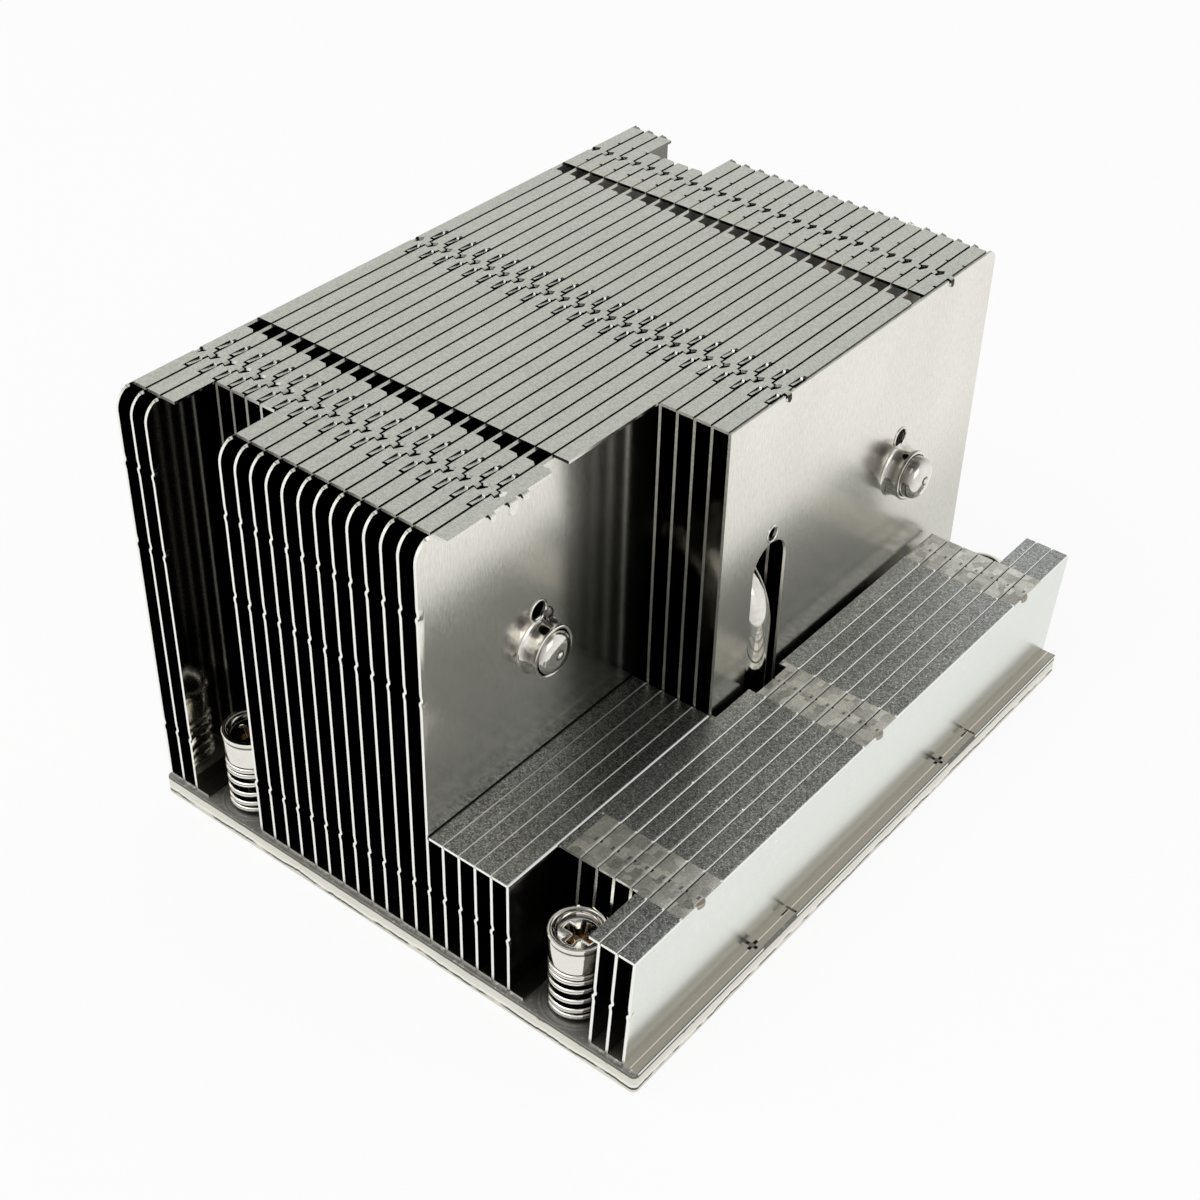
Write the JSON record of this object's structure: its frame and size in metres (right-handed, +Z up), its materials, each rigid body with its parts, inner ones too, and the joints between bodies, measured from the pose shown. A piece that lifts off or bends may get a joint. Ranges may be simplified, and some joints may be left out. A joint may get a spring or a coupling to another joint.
{
  "type": "passive server cpu heatsink",
  "caption": "Passive heatsink for a server processor: folded-fin stack on a plated base plate, stepped at one corner, with heat pipes and captive spring screws.",
  "frame": {"origin": "centre of the base plate's underside, the face that rests on the processor", "axes": "+Z up from the processor, +Y along the fins from the notched front to the rear, +X across the fins towards the low fins"},
  "size_m": [0.0818, 0.103, 0.0644],
  "materials": {
    "plated_base": "satin nickel plate on copper, worn at the edges",
    "plated_fin": "bright rolled sheet with a faint upright grain",
    "plated_pipe": "polished nickel plate on copper",
    "plated_screw": "polished nickel plate",
    "spring_wire": "polished wire"
  },
  "bodies": {
    "sink": {"base_plate": "plated_base", "fin_01": "plated_fin", "fin_02": "plated_fin", "fin_03": "plated_fin", "fin_04": "plated_fin", "fin_05": "plated_fin", "fin_06": "plated_fin", "fin_07": "plated_fin", "fin_08": "plated_fin", "fin_09": "plated_fin", "fin_10": "plated_fin", "fin_11": "plated_fin", "fin_12": "plated_fin", "fin_13": "plated_fin", "fin_14": "plated_fin", "fin_15": "plated_fin", "fin_16": "plated_fin", "fin_17": "plated_fin", "fin_18": "plated_fin", "fin_19": "plated_fin", "fin_20": "plated_fin", "fin_21": "plated_fin", "fin_22": "plated_fin", "fin_23": "plated_fin", "fin_24": "plated_fin", "fin_25": "plated_fin", "fin_26": "plated_fin", "fin_27": "plated_fin", "fin_28": "plated_fin", "fin_29": "plated_fin", "fin_30": "plated_fin", "fin_31": "plated_fin", "fin_32": "plated_fin", "heat_pipe_front": "plated_pipe", "heat_pipe_middle": "plated_pipe", "heat_pipe_rear": "plated_pipe"},
    "spring_front_left": {"screw_spring_front_left": "spring_wire"},
    "screw_front_left": {"screw_front_left": "plated_screw"},
    "spring_front_right": {"screw_spring_front_right": "spring_wire"},
    "screw_front_right": {"screw_front_right": "plated_screw"},
    "spring_rear_left": {"screw_spring_rear_left": "spring_wire"},
    "screw_rear_left": {"screw_rear_left": "plated_screw"},
    "spring_rear_right": {"screw_spring_rear_right": "spring_wire"},
    "screw_rear_right": {"screw_rear_right": "plated_screw"}
  },
  "joints": [
    {"name": "press_front_left", "type": "slide", "parent": "sink", "child": "spring_front_left", "axis": [0, 0, 1], "range_m": [-0.003, 0], "stiffness_N_per_m": 4000, "deforming": ["screw_spring_front_left"]},
    {"name": "turn_front_left", "type": "hinge", "parent": "spring_front_left", "child": "screw_front_left", "pos_m": [-0.028, -0.04635, 0.0156], "axis": [0, 0, 1], "continuous": true},
    {"name": "press_front_right", "type": "slide", "parent": "sink", "child": "spring_front_right", "axis": [0, 0, 1], "range_m": [-0.003, 0], "stiffness_N_per_m": 4000, "deforming": ["screw_spring_front_right"]},
    {"name": "turn_front_right", "type": "hinge", "parent": "spring_front_right", "child": "screw_front_right", "pos_m": [0.028, -0.04635, 0.0156], "axis": [0, 0, 1], "continuous": true},
    {"name": "press_rear_left", "type": "slide", "parent": "sink", "child": "spring_rear_left", "axis": [0, 0, 1], "range_m": [-0.003, 0], "stiffness_N_per_m": 4000, "deforming": ["screw_spring_rear_left"]},
    {"name": "turn_rear_left", "type": "hinge", "parent": "spring_rear_left", "child": "screw_rear_left", "pos_m": [-0.028, 0.04765, 0.0156], "axis": [0, 0, 1], "continuous": true},
    {"name": "press_rear_right", "type": "slide", "parent": "sink", "child": "spring_rear_right", "axis": [0, 0, 1], "range_m": [-0.003, 0], "stiffness_N_per_m": 4000, "deforming": ["screw_spring_rear_right"]},
    {"name": "turn_rear_right", "type": "hinge", "parent": "spring_rear_right", "child": "screw_rear_right", "pos_m": [0.028, 0.04765, 0.0156], "axis": [0, 0, 1], "continuous": true}
  ]
}
